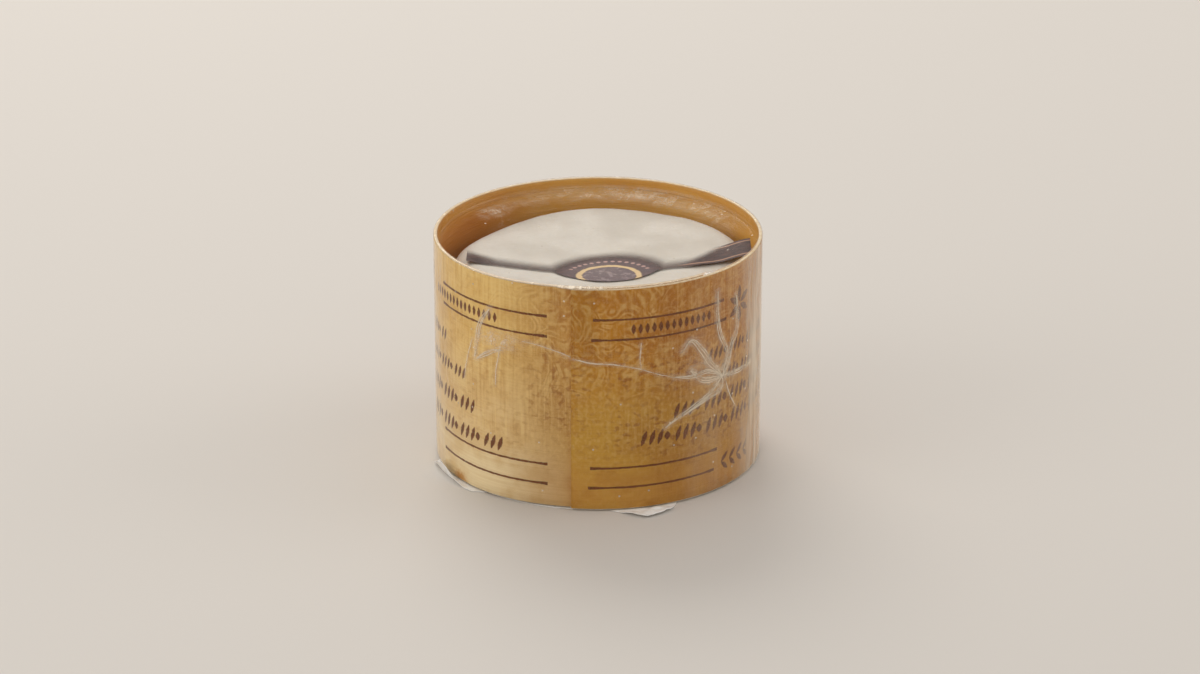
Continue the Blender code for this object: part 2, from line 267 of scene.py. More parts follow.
class Graph:
    """A material's nodes, made with short calls."""

    def __init__(self, name):
        self.material = bpy.data.materials.new(name)
        self.material.use_nodes = True
        self.tree = self.material.node_tree
        self.tree.nodes.clear()
        self.output = self.add("ShaderNodeOutputMaterial")

    def add(self, kind, inputs=None, **settings):
        """A node with its settings, and its inputs as sockets or values."""
        node = self.tree.nodes.new(kind)
        for key, value in settings.items():
            setattr(node, key, value)
        for key, value in (inputs or {}).items():
            self.feed(node.inputs[key], value)
        return node

    def feed(self, socket, value):
        """Links a socket, or sets the input's own value."""
        if isinstance(value, bpy.types.NodeSocket):
            self.tree.links.new(value, socket)
        elif isinstance(value, tuple) and len(value) == 3 and socket.type == "RGBA":
            socket.default_value = (*value, 1.0)
        else:
            socket.default_value = value

    def place(self, across=1.0, up=1.0):
        """The UV map in millimetres, squeezed by a factor each way."""
        uv = self.add("ShaderNodeUVMap", uv_map="place").outputs[0]
        factors = (100.0 * across, 100.0 * up, 1.0)
        return self.add("ShaderNodeVectorMath", {0: uv, 1: factors}, operation="MULTIPLY").outputs[0]

    def split(self, vector):
        """The first two numbers of a vector."""
        parts = self.add("ShaderNodeSeparateXYZ", {0: vector})
        return parts.outputs[0], parts.outputs[1]

    def math(self, operation, a, b=0.0, clamp=False):
        """One step of arithmetic."""
        return self.add("ShaderNodeMath", {0: a, 1: b}, operation=operation, use_clamp=clamp).outputs[0]

    def noise(self, vector, detail=2.0, rough=0.5, distortion=0.0):
        """Flat noise from 0 to 1 over two numbers."""
        inputs = {"Vector": vector, "Scale": 1.0, "Detail": detail, "Roughness": rough}
        inputs["Distortion"] = distortion
        return self.add("ShaderNodeTexNoise", inputs, noise_dimensions="2D").outputs[0]

    def step(self, value, low, high, to_low=0.0, to_high=1.0):
        """A smooth step from to_low at low to to_high at high."""
        inputs = {"Value": value, "From Min": low, "From Max": high, "To Min": to_low, "To Max": to_high}
        return self.add("ShaderNodeMapRange", inputs, interpolation_type="SMOOTHSTEP").outputs[0]

    def band(self, value, low, high, soft):
        """1 between low and high, 0 outside, with soft ends."""
        rise = self.step(value, low - soft, low + soft)
        fall = self.step(value, high - soft, high + soft, 1.0, 0.0)
        return self.both(rise, fall)

    def mix(self, share, first, second, blend="MIX"):
        """Two colours mixed by a share."""
        node = self.add("ShaderNodeMix", data_type="RGBA", blend_type=blend)
        self.feed(node.inputs[0], share)
        self.feed(node.inputs[6], first)
        self.feed(node.inputs[7], second)
        return node.outputs[2]

    def attribute(self, name):
        """A number that the mesh carries at its points."""
        return self.add("ShaderNodeAttribute", attribute_name=name).outputs["Fac"]

    def bump(self, height, distance):
        """A normal from a height in parts of distance, which is in metres."""
        inputs = {"Height": height, "Distance": distance, "Strength": 1.0}
        return self.add("ShaderNodeBump", inputs).outputs[0]

    def both(self, *shares):
        """The product of shares."""
        result = shares[0]
        for share in shares[1:]:
            result = self.math("MULTIPLY", result, share)
        return result

    def length(self, across, up):
        """How far a place lies from the origin."""
        return self.math("SQRT", self.math("ADD", self.both(across, across), self.both(up, up)))

    def surface(self, colour, rough, **inputs):
        """A surface of a colour and a roughness; other inputs come by name, with _ for each space."""
        named = {key.replace("_", " "): value for key, value in inputs.items()}
        named.update({"Base Color": colour, "Roughness": rough})
        return self.add("ShaderNodeBsdfPrincipled", named).outputs[0]

    def clear(self):
        """A surface that lets all light through."""
        return self.add("ShaderNodeBsdfTransparent").outputs[0]

    def blend(self, share, first, second):
        """Two surfaces mixed by a share."""
        return self.add("ShaderNodeMixShader", {0: share, 1: first, 2: second}).outputs[0]

    def finish(self, shader):
        """Puts the shader on the surface."""
        self.tree.links.new(shader, self.output.inputs["Surface"])
        return self.material


# Materials

def veneer_outside():
    """The hoop's outer face: fibres, curls near the lap, flecks, a stain at the left foot, and painted
    light, shade and glints.

    The map runs along the strip from its outer end, so it starts at the seam and grows to the right, all
    the way round to the left side of the seam.
    """
    g = Graph("veneer_outside")
    arc, height = g.split(g.place())
    # Paler on the left: partly the veneer's own tone past the seam, partly painted light falling from the
    # left.
    left = g.both(g.step(arc, 150.0, 205.0), g.step(arc, 225.0, 262.0, 1.0, 0.0))
    high = g.step(height, 20.0, 44.0)
    low = g.step(height, 4.0, 17.0, 1.0, 0.0)
    broad = g.noise(g.place(0.09, 0.10), detail=3.0, rough=0.6)
    fibre = g.noise(g.place(0.05, 2.4), detail=4.0, rough=0.6)
    streak = g.noise(g.place(1.15, 0.045), detail=3.0, rough=0.6, distortion=0.3)
    fine = g.noise(g.place(1.2, 0.9), detail=1.5, rough=0.5)
    curl = g.noise(g.place(0.15, 0.16), detail=0.5, distortion=1.1)
    rings = g.math("SINE", g.both(curl, CURL_RINGS))
    patch = g.noise(g.place(0.09, 0.09), detail=1.0)

    right_wood = g.mix(high, linear(*WOOD_MIDDLE), linear(*WOOD_HIGH))
    right_wood = g.mix(low, right_wood, linear(*WOOD_LOW))
    left_wood_lit = g.mix(g.step(height, 7.0, 20.0), linear(*WOOD_LEFT_LIT_LOW), linear(*WOOD_LEFT_LIT_MIDDLE))
    left_wood_lit = g.mix(high, left_wood_lit, linear(*WOOD_LEFT_LIT_HIGH))
    # Painted shade: darkens the wood from just right of the seam, on round the right side and the back.
    right_shade = g.both(g.step(arc, 9.0, 24.0), 0.8)
    right_wood = g.mix(right_shade, right_wood, linear(*WOOD_RIGHT_SHADE), "MULTIPLY")
    colour = g.mix(left, right_wood, left_wood_lit)
    colour = g.mix(g.both(g.step(broad, 0.40, 0.62), 0.4), colour, linear(*WOOD_DEEP), "MULTIPLY")
    colour = g.mix(g.both(g.step(fibre, 0.38, 0.72), 0.24), colour, linear(*WOOD_DEEP), "MULTIPLY")

    # Pale upright streaks, strongest on the lit left: painted glints of the film's ripples, with painted
    # shade between them.
    streaked = g.both(g.step(left, 0.0, 1.0, 0.35, 1.0), g.step(height, 10.0, 22.0))
    streak_glints = g.both(g.step(streak, 0.46, 0.66), g.step(patch, 0.28, 0.6, 0.25, 1.0), streaked)
    colour = g.mix(g.both(streak_glints, 0.48), colour, linear(*WOOD_PALE))
    streak_shade = g.both(g.step(streak, 0.30, 0.44, 1.0, 0.0), streaked)
    colour = g.mix(g.both(streak_shade, 0.4), colour, linear(*WOOD_DEEP), "MULTIPLY")

    near_seam = g.math("ADD", g.step(arc, 16.0, 30.0, 1.0, 0.0), g.step(arc, 234.0, 246.0), clamp=True)
    curled = g.both(g.step(near_seam, 0.0, 1.0, 0.45, 1.0), g.step(height, 22.0, 36.0))
    broken = g.step(g.noise(g.place(0.34, 0.30), detail=2.0), 0.36, 0.58, 0.15, 1.0)
    dark_loops = g.both(g.step(rings, -1.0, 0.2, 1.0, 0.0), curled, broken)
    colour = g.mix(g.both(dark_loops, 0.26), colour, linear(*WOOD_FLECK), "MULTIPLY")
    pale_loops = g.both(g.step(rings, 0.0, 1.0), curled, broken)
    colour = g.mix(g.both(pale_loops, 0.27), colour, linear(*WOOD_PALE))

    fleck = g.noise(g.place(0.5, 0.75), detail=1.5, rough=0.5)
    flecked = g.both(g.band(height, 12.0, 42.0, 6.0), g.step(patch, 0.35, 0.55, 0.4, 1.0))
    flecks = g.both(g.step(fleck, 0.55, 0.68), flecked, g.step(left, 0.0, 1.0, 0.65, 0.2))
    colour = g.mix(flecks, colour, linear(*WOOD_FLECK), "MULTIPLY")
    mottled = g.both(g.step(fine, 0.45, 0.7), g.step(height, 8.0, 18.0, 0.3, 1.0))
    colour = g.mix(g.both(mottled, 0.16), colour, linear(*WOOD_PALE))

    lap = g.both(g.step(arc, 3.0, 9.0, 1.0, 0.0), g.step(height, 28.0, 46.0))
    colour = g.mix(g.both(lap, 0.3), colour, linear(*WOOD_LAP), "MULTIPLY")
    across_stain = g.math("DIVIDE", g.math("SUBTRACT", arc, STAIN_ARC), STAIN_REACH)
    up_stain = g.math("DIVIDE", height, STAIN_HEIGHT)
    ragged = g.both(g.math("SUBTRACT", fine, 0.5), 0.5)
    stain = g.step(g.math("ADD", g.length(across_stain, up_stain), ragged), 0.3, 1.0, 1.0, 0.0)
    colour = g.mix(g.both(stain, 0.9), colour, linear(*WOOD_STAIN), "MULTIPLY")

    relief = g.math("ADD", fibre, g.both(streak, 0.6))
    return g.finish(g.surface(colour, 0.62, Normal=g.bump(relief, 0.00012)))


def veneer_inside():
    """The hoop's inner face: veneer with faint level bands, in painted shade on the left and along the top.
    """
    g = Graph("veneer_inside")
    arc, height = g.split(g.place())
    broad = g.noise(g.place(0.02, 0.12), detail=2.0)
    fibre = g.noise(g.place(0.06, 2.0), detail=4.0, rough=0.6)
    shade = g.both(g.band(arc, 152.0, 232.0, 18.0), g.step(height, 50.0, 57.0, 1.0, 0.45))
    colour = g.mix(g.step(broad, 0.35, 0.65), linear(230, 172, 70), linear(238, 186, 88))
    colour = g.mix(g.both(g.step(fibre, 0.35, 0.7), 0.4), colour, linear(214, 146, 50))
    colour = g.mix(g.both(shade, 0.85), colour, linear(200, 158, 126), "MULTIPLY")
    # Painted shade: the top few millimetres of the inner face are darkened.
    colour = g.mix(g.step(height, 51.5, 55.5, 0.0, 0.25), colour, linear(208, 196, 170), "MULTIPLY")
    return g.finish(g.surface(colour, 0.6, Normal=g.bump(fibre, 0.0001)))


def veneer_edge():
    """The strip's cut edges, paler than its faces."""
    g = Graph("veneer_edge")
    grain = g.noise(g.place(0.8, 6.0), detail=3.0)
    colour = g.mix(g.step(grain, 0.3, 0.7), linear(226, 196, 148), linear(242, 222, 184))
    return g.finish(g.surface(colour, 0.7, Normal=g.bump(grain, 0.00008)))


def ink():
    """Brown ink that the wood has partly soaked up."""
    g = Graph("brown_ink")
    worn = g.noise(g.place(0.9, 1.6), detail=3.0)
    edge = g.attribute("across")
    solid = g.step(g.math("ADD", edge, g.both(g.math("SUBTRACT", worn, 0.5), 0.7)), 0.0, 0.4)
    share = g.both(solid, g.step(worn, 0.25, 0.6, 0.64, 0.92))
    colour = g.mix(worn, linear(102, 48, 12), linear(138, 80, 32))
    return g.finish(g.blend(share, g.clear(), g.surface(colour, 0.6)))


def rind():
    """A velvety cream-white rind with faint mottling."""
    g = Graph("bloomy_rind")
    soft = g.noise(g.place(0.05, 0.05), detail=3.0)
    fine = g.noise(g.place(0.9, 0.9), detail=4.0, rough=0.65)
    colour = g.mix(g.step(soft, 0.35, 0.65), linear(204, 195, 182), linear(217, 209, 197))
    colour = g.mix(g.both(g.step(fine, 0.45, 0.75), 0.25), colour, linear(200, 188, 168))
    shader = g.surface(
        colour, 0.85, Sheen_Weight=0.25, Sheen_Roughness=0.4, Subsurface_Weight=0.15,
        Subsurface_Radius=(0.004, 0.003, 0.002), Subsurface_Scale=0.5, Normal=g.bump(fine, 0.0001))
    return g.finish(shader)


def label_print():
    """Dark paper with a gold ring, small marks and edge lines, paling to the rind's white at the rear."""
    g = Graph("dark_label_paper")
    x, y = g.split(g.place())
    veil = g.attribute("veil")
    grain = g.noise(g.place(0.5, 0.5), detail=4.0, rough=0.6)
    dark = g.mix(g.step(grain, 0.35, 0.7), linear(54, 24, 18), linear(82, 48, 38))

    off_x = g.math("SUBTRACT", x, RING_X)
    off_y = g.math("SUBTRACT", y, RING_Y)
    distance = g.length(off_x, off_y)
    dark = g.mix(g.step(distance, 9.5, 14.0, 0.32, 0.0), dark, linear(132, 114, 118))
    wobble = g.both(g.math("SUBTRACT", grain, 0.5), 0.8)
    ring = g.band(g.math("ADD", distance, wobble), RING_RADIUS - RING_LINE, RING_RADIUS, 0.22)
    colour = g.mix(ring, dark, linear(222, 190, 140))
    inside = g.step(distance, RING_RADIUS - RING_LINE - 0.3, RING_RADIUS - RING_LINE, 1.0, 0.0)
    specks = g.both(inside, g.step(grain, 0.52, 0.66))
    colour = g.mix(g.both(inside, 0.35), colour, linear(132, 114, 118))
    colour = g.mix(g.both(specks, 0.5), colour, linear(176, 160, 158))

    turn = g.math("ARCTAN2", off_x, off_y)
    cell = g.math("SUBTRACT", g.math("FRACT", g.both(turn, MARKS_PER_RADIAN)), 0.5)
    sideways = g.math("DIVIDE", cell, MARKS_PER_RADIAN / MARK_CIRCLE)
    beyond = g.math("SUBTRACT", distance, MARK_CIRCLE)
    marks = g.step(g.length(sideways, beyond), MARK_CORE, MARK_RADIUS, 1.0, 0.0)
    marks = g.both(marks, g.step(g.math("ABSOLUTE", turn), 1.05, 1.2, 1.0, 0.0))
    colour = g.mix(g.both(marks, 0.75), colour, linear(206, 164, 152))

    across = g.attribute("across")
    lines = g.math("ADD", g.band(across, 0.10, 0.15, 0.02), g.band(across, 0.86, 0.91, 0.02))
    lines = g.both(lines, g.step(x, 18.0, 22.0))
    colour = g.mix(g.both(lines, 0.8), colour, linear(196, 150, 120))

    paper = g.surface(colour, 0.55, Specular_IOR_Level=0.25, Normal=g.bump(grain, 0.00008))
    return g.finish(g.blend(veil, paper, g.clear()))


def film():
    """Clear film: a gloss that grows towards grazing, with milky smears, haze, painted sheen near the sides
    and on the rim, and small pin holes drawn as painted glints.
    """
    g = Graph("clear_film")
    milk = g.attribute("milk")
    cloud = g.noise(g.place(0.30, 0.36), detail=6.0, rough=0.75, distortion=0.4)
    ripple = g.noise(g.place(0.16, 0.12), detail=2.0, distortion=0.8)
    speckle = g.noise(g.place(1.5, 1.5), detail=2.0)
    smear = g.both(milk, g.step(cloud, 0.38, 0.66, 0.15, 0.95), g.step(speckle, 0.3, 0.65, 0.6, 1.15))

    cells = g.place(1.0 / HOLE_PITCH, 1.0 / HOLE_PITCH)
    corner = g.add("ShaderNodeVectorMath", {0: cells}, operation="FLOOR").outputs[0]
    chance = g.add("ShaderNodeTexWhiteNoise", {"Vector": corner}, noise_dimensions="2D")
    offs = []
    for part, shift in zip(g.split(cells), g.split(chance.outputs["Color"])):
        middle = g.math("ADD", g.both(shift, 0.8), 0.1)
        offs.append(g.math("SUBTRACT", g.math("FRACT", part), middle))
    # Each pin hole is drawn as a small whitish dot: a painted glint.
    hole_glint = g.step(g.both(g.length(*offs), HOLE_PITCH), HOLE_CORE, HOLE_RADIUS, 1.0, 0.0)
    hole_glint = g.both(hole_glint, g.step(chance.outputs["Value"], CELLS_LEFT_OUT, CELLS_LEFT_OUT + 0.01))
    # Milky smears plus the haze numbers, which include painted reflection and a painted glint.
    milk_and_sheen = g.math("ADD", smear, g.attribute("haze"))
    white = g.math("ADD", milk_and_sheen, g.both(hole_glint, 0.65), clamp=True)

    normal = g.bump(ripple, 0.0003)
    fresnel = g.add("ShaderNodeFresnel", {"IOR": 1.3, "Normal": normal}).outputs[0]
    share = g.both(g.math("MINIMUM", fresnel, 0.5), g.attribute("gloss"))
    gloss = g.surface((1.0, 1.0, 1.0), 0.16, Metallic=1.0, Normal=normal)
    # One whitish surface shows the milky film as well as the painted sheen and glints.
    haze = g.surface(linear(246, 230, 206), 0.6, Normal=normal)
    return g.finish(g.blend(white, g.blend(share, g.clear(), gloss), haze))


def crease():
    """A pressed fold in the film: a broken whitish line that catches the light."""
    g = Graph("film_crease")
    edge = g.attribute("across")
    broken = g.noise(g.place(0.22, 0.22), detail=2.5, rough=0.6)
    share = g.both(g.step(edge, 0.0, 0.9), g.step(broken, 0.3, 0.6, 0.3, 0.85))
    return g.finish(g.blend(share, g.clear(), g.surface(linear(240, 226, 202), 0.35)))


def white_paper():
    """Plain white label paper, a little soiled."""
    g = Graph("white_paper")
    grain = g.noise(g.place(0.25, 0.25), detail=4.0, rough=0.6)
    colour = g.mix(g.step(grain, 0.35, 0.7), linear(248, 246, 243), linear(236, 231, 223))
    return g.finish(g.surface(colour, 0.6, Normal=g.bump(grain, 0.0001)))


# Hoop

LAP_ANGLE = -degrees(asin(LAP_EDGE_LEFT / HOOP_RADIUS))
STRIP_ROWS = 22
OUTSIDE, EDGE, INSIDE = 0, 1, 2


def tuck(run):
    """How far the strip lies inside the full radius at a run of degrees from its outer end."""
    length = degrees(TUCK_LENGTH / HOOP_RADIUS)
    return LAP_STEP * ease((run - 360.0 + length) / length)


def strip_top(angle, share):
    """The cut edge of the strip: it drifts up along its length and isn't quite straight."""
    fine = 0.05 * wander(angle * 0.7, 0.0, 3.0, 2.0)
    return HOOP_TOP + RIM_DRIFT * (share - 0.5) + RIM_WAVE * sin(radians(3 * angle + 40)) + fine


def strip_section(top):
    """The strip's section, anticlockwise from the foot of its outer face: offset, height and kind."""
    half, wear = VENEER / 2, EDGE_WEAR
    low, high = HOOP_FOOT, top
    rows = STRIP_ROWS
    rise = [low + wear + (high - low - 2 * wear) * j / rows for j in range(rows + 1)]
    outer = [(half, z) for z in rise]
    lip = [(half - wear * 0.3, high - wear * 0.3), (half - wear, high), (wear - half, high),
           (wear * 0.3 - half, high - wear * 0.3)]
    inner = [(-half, z) for z in reversed(rise)]
    foot = [(wear - half, low), (half - wear, low)]
    kinds = [OUTSIDE] * rows + [EDGE] * 5 + [INSIDE] * rows + [EDGE] * 3
    return outer + lip + inner + foot, kinds


def make_hoop():
    """The bent strip, with its outer end at the front and its inner end hidden under the lap."""
    whole = 360.0 + degrees(LAP_LENGTH / HOOP_RADIUS)
    columns = round(whole)
    kinds = strip_section(HOOP_TOP)[1]
    wide = len(kinds)
    points, faces, spots, worn = [], [], [], []
    for i in range(columns + 1):
        run = whole * i / columns
        angle = LAP_ANGLE + run
        section = strip_section(strip_top(angle, i / columns))[0]
        for offset, z in section:
            x, y = round_place(angle, HOOP_RADIUS - VENEER / 2 - tuck(run) + offset)
            points.append(Vector((x, y, z)) * MM)
    pitch = radians(whole / columns) * HOOP_RADIUS
    for i in range(columns):
        for j in range(wide):
            nxt = (j + 1) % wide
            faces.append((i * wide + j, (i + 1) * wide + j, (i + 1) * wide + nxt, i * wide + nxt))
            low, high = points[i * wide + j].z / MM, points[i * wide + nxt].z / MM
            spots += [(i * pitch, low), ((i + 1) * pitch, low), ((i + 1) * pitch, high), (i * pitch, high)]
            worn.append(kinds[j])
    for end, order in ((0, 1), (columns * wide, -1)):
        ring = [end + j for j in range(wide)][::order]
        faces.append(ring)
        spots += [(points[v].x / MM, points[v].z / MM) for v in ring]
        worn.append(EDGE)
    mesh = new_mesh("wooden_hoop_dressed", points, faces, spots)
    mesh.polygons.foreach_set("material_index", worn)
    for cut in mesh.polygons[len(faces) - 2:]:
        cut.use_smooth = False
    mesh.update()
    materials = [veneer_outside(), veneer_edge(), veneer_inside()]
    add_piece("hoop_veneer", mesh, materials, "wooden_hoop")


def wall_place(arc, height, out):
    """The point at an arc and a height on the wall, out from the wood's face."""
    angle = degrees(arc / HOOP_RADIUS)
    x, y = round_place(angle, HOOP_RADIUS - tuck((angle - LAP_ANGLE) % 360.0) + out)
    return Vector((x, y, height)) * MM


def beside(path, offsets):
    """The path on the wall moved sideways, by its own offset at each place."""
    moved = []
    for i, (arc, height) in enumerate(path):
        before, after = path[max(i - 1, 0)], path[min(i + 1, len(path) - 1)]
        run, rise = after[0] - before[0], after[1] - before[1]
        share = offsets[i] / (hypot(run, rise) or 1.0)
        moved.append((arc - rise * share, height + run * share))
    return moved


class Ribbons:
    """Narrow strips that lie on the wall, gathered in one mesh."""

    def __init__(self, out, ridge=0.0):
        self.out = out
        self.ridge = ridge
        self.points, self.faces, self.spots, self.edges = [], [], [], []

    def add(self, path, widths):
        """One strip along a path of places, as wide as given at each."""
        first = len(self.points)
        halves = [width / 2 for width in widths]
        lines = (beside(path, [-half for half in halves]), path, beside(path, halves))
        for places in zip(*lines):
            for (arc, height), middle in zip(places, (0.0, 1.0, 0.0)):
                self.points.append(wall_place(arc, height, self.out + self.ridge * middle))
                self.spots.append((arc, height))
                self.edges.append(middle)
        for i in range(len(path) - 1):
            for side in (0, 1):
                low = first + 3 * i + side
                self.faces.append((low, low + 3, low + 4, low + 1))

    def mesh(self, name):
        """The strips' mesh, with each point's share across its strip."""
        corners = [self.spots[point] for face in self.faces for point in face]
        mesh = new_mesh(name, self.points, self.faces, corners)
        carry(mesh, "across", self.edges)
        return mesh


def add_leaf(ribbons, arc, height, angle, length, thick):
    """A pointed leaf that starts at a place and grows at an angle from level."""
    run, rise = length * cos(radians(angle)), length * sin(radians(angle))
    shares = [i / LEAF_STEPS for i in range(LEAF_STEPS + 1)]
    path = [(arc + run * share, height + rise * share) for share in shares]
    ribbons.add(path, [thick * sin(pi * min(max(share, 0.02), 0.98)) ** 0.8 for share in shares])


def add_rule(ribbons, start, end, height):
    """A drawn line with a slight waver, pressed harder at its ends."""
    count = max(int((end - start) / RULE_PITCH), 2)
    path = [(start + (end - start) * i / count, height) for i in range(count + 1)]
    widths = []
    for arc, z in path:
        pressed = max(ease(1.0 - (arc - start) / RULE_END), ease(1.0 - (end - arc) / RULE_END))
        widths.append(RULE * (1.0 + 0.55 * pressed + 0.25 * wander(arc, z, 0.0, 1.6)))
    ribbons.add(path, widths)


def add_row(ribbons, start, end, height, size):
    """A row of slanted leaves in threes with a dot after each three."""
    arc = start
    while arc < end:
        for i in range(3):
            if arc < end:
                add_leaf(ribbons, arc, height - 1.4 * size, 72, 3.0 * size, 1.05 * size)
            arc += 1.55 * size
        if arc < end:
            add_leaf(ribbons, arc + 0.35, height - 0.8 * size, 90, 1.6 * size, 1.4 * size)
        arc += 2.0 * size


def make_print():
    """Rules, rows of small leaves and dots, lozenges and two plain ornaments in brown ink."""
    ribbons = Ribbons(0.04)
    rules = [(*LEFT_RULE, height) for height in RULE_HEIGHTS]
    rules += [(*ends, height) for ends, height in zip(RIGHT_RULES, RULE_HEIGHTS)]
    caps, grains = list(CAP_ROWS), list(GRAIN_ROWS)
    for start in BACK_PANELS:
        end = start + BACK_PANEL
        rules += [(start, end, height) for height in RULE_HEIGHTS]
        caps.append((start + BACK_CAP_INSET, end - BACK_CAP_INSET))
        first, last = start + BACK_GRAIN_INSET, end - BACK_GRAIN_INSET
        grains += [(first, last, height) for height in BACK_GRAIN_HEIGHTS]
    for start, end, height in rules:
        add_rule(ribbons, start, end, height)
    for start, end in caps:
        for i in range(int((end - start) / CAP_PITCH) + 1):
            add_leaf(ribbons, start + CAP_PITCH * i, CAP_HEIGHT - CAP_LENGTH / 2, 90, CAP_LENGTH, CAP_WIDTH)
    for start, end, height in grains:
        add_row(ribbons, start, end, height, LARGE_GRAIN if height < LARGE_BELOW else SMALL_GRAIN)
    for arc in ROSETTES:
        for i in range(6):
            turn = radians(60 * i + 30)
            add_leaf(ribbons, arc + 0.5 * cos(turn), ROSETTE_HEIGHT + 0.5 * sin(turn), 60 * i + 30, 4.2, 1.9)
    for arc in SPRIGS:
        for i in range(4):
            for side in (-1, 1):
                add_leaf(ribbons, arc - 6.4 + 3.2 * i, SPRIG_HEIGHT, side * 42, 3.3, 1.4)
    add_piece("hoop_print", ribbons.mesh("hoop_print"), [ink()])


# Cheese

# Where its shoulder has slumped: the middle angle and reach of each place, and how deep
SLUMPS = ((-130.0, 42.0, 1.4), (60.0, 24.0, 1.3))
SLUMP_START = 20.0
SLUMP_LENGTH = 14.0
CHEESE_COLUMNS = 200


def dish(radius):
    """How far the top of the cheese lies below its edge."""
    share = min(radius / DISH_RADIUS, 1.0)
    return DISH_DEPTH * (1.0 - share * share) ** 2


def top_unevenness(x, y):
    """Slow rises and dips of the cheese's top, and its lean to the left."""
    waves = sin(0.11 * x + 0.6) * cos(0.13 * y - 0.4) + 0.4 * sin(0.23 * x - 0.17 * y)
    return TOP_UNEVEN * waves + CHEESE_LEAN * x / CHEESE_RADIUS


def cheese_surface(x, y):
    """Height of the cheese's top at a place inside its shoulder."""
    return CHEESE_TOP - dish(hypot(x, y)) + top_unevenness(x, y)


def cheese_profile():
    """Radius and height from the middle of the top over the shoulder to the middle of the foot."""
    flat = CHEESE_RADIUS - SHOULDER
    rings = 40
    points = [(flat * i / rings, CHEESE_TOP - dish(flat * i / rings)) for i in range(rings)]
    for i in range(15):
        turn = radians(90 * (1 - i / 14))
        points.append((flat + SHOULDER * cos(turn), CHEESE_TOP - SHOULDER + SHOULDER * sin(turn)))
    high, low = CHEESE_TOP - SHOULDER, CHEESE_FOOT + FOOT_ROUND
    points += [(CHEESE_RADIUS - 0.2 * sin(pi * i / 10), high + (low - high) * i / 10) for i in range(1, 10)]
    for i in range(7):
        turn = radians(-90 * i / 6)
        points.append((CHEESE_RADIUS - FOOT_ROUND + FOOT_ROUND * cos(turn), low + FOOT_ROUND * sin(turn)))
    points.append((0.0, CHEESE_FOOT))
    return points


def make_cheese():
    """The drum of cheese with its soft uneven rind."""
    rows, flat = [], []
    for radius, z in cheese_profile():
        ring, plan = [], []
        height = ease((z - CHEESE_FOOT) / (CHEESE_TOP - CHEESE_FOOT))
        for i in range(CHEESE_COLUMNS):
            angle = 360.0 * i / CHEESE_COLUMNS
            x, y = round_place(angle, radius)
            soft = 0.10 * wander(x, y, z, 5.0) + 0.05 * wander(x, y, z, 1.8)
            sunk = sum(depth * near(angle, middle, reach) for middle, reach, depth in SLUMPS)
            sunk *= ease((radius - SLUMP_START) / SLUMP_LENGTH)
            lift = (top_unevenness(x, y) + soft - sunk) * height
            swell = 1.0 + 0.3 * wander(x, y, z, 22.0) / CHEESE_RADIUS
            ring.append((x * swell + CHEESE_X, y * swell, z + lift))
            plan.append((x, y - (CHEESE_TOP - z)))
        rows.append(ring)
        flat.append(plan)
    rows, flat = rows[::-1], flat[::-1]
    mesh = grid_mesh("cheese_dressed", rows, lambda j, i: flat[j][i % CHEESE_COLUMNS], closed=True)
    add_piece("cheese_rind", mesh, [rind()], "cheese")


# Label

RING_X, RING_Y = 2.7, -13.9
RING_RADIUS, RING_LINE = 7.9, 1.35
MARK_CIRCLE = 10.5
MARKS_PER_RADIAN = 6.0
MARK_CORE, MARK_RADIUS = 0.36, 0.68
LABEL_OVER_CHEESE = 0.3
LABEL_PITCH = 0.6
VEIL_IN_FRONT = 0.3


def band_middle(x):
    """Y of the band's middle line: a gentle bow with its ends further back than its middle."""
    off = x - SEAL_X
    radius = BAND_BOW_LEFT if off < 0.0 else BAND_BOW_RIGHT
    return BAND_MIDDLE_Y + BAND_TURN * off + off ** 2 / (2 * radius)


def label_edges(x):
    """Front and rear edge of the label at x: the band, widened where the seal is."""
    front = band_middle(x) - BAND_WIDTH / 2
    rear = band_middle(x) + BAND_WIDTH / 2
    off = abs(x - SEAL_X)
    if off < SEAL_RADIUS:
        half = sqrt(SEAL_RADIUS ** 2 - off ** 2)
        front = min(front, SEAL_Y - half)
        rear = max(rear, SEAL_Y + half)
    return front, rear


def label_height(x, y):
    """The paper lies on the cheese, and its ends rise towards the hoop."""
    left = ease((-x - BAND_LIFT_START) / (-BAND_LEFT - BAND_LIFT_START))
    right = ease((x - BAND_LIFT_START) / (BAND_RIGHT - BAND_LIFT_START))
    crumple = 0.06 * wander(x, y, 1.0, 4.0)
    lift = BAND_LIFT_LEFT * left + BAND_LIFT_RIGHT * right
    return cheese_surface(x, y) + LABEL_OVER_CHEESE + crumple + lift


def veil(x, y, front):
    """How far the rind's bloom hides the print at a place: from 0 in front to 1 at the rear."""
    seal = ease((hypot(x - RING_X, y - RING_Y) - 11.5) / 6.5)
    strip = VEIL_IN_FRONT + (1.0 - VEIL_IN_FRONT) * ease((y - front - 0.5) / 7.0)
    smudge = ease(1.15 - hypot((x - BAND_LEFT - 1.6) * 0.5, (y - front - 2.6) * 0.55) / 3.0)
    clean = ease((x - 17.0 - 0.9 * (y - front)) / 6.0)
    return min(seal, strip) * (1.0 - smudge) * (1.0 - clean)


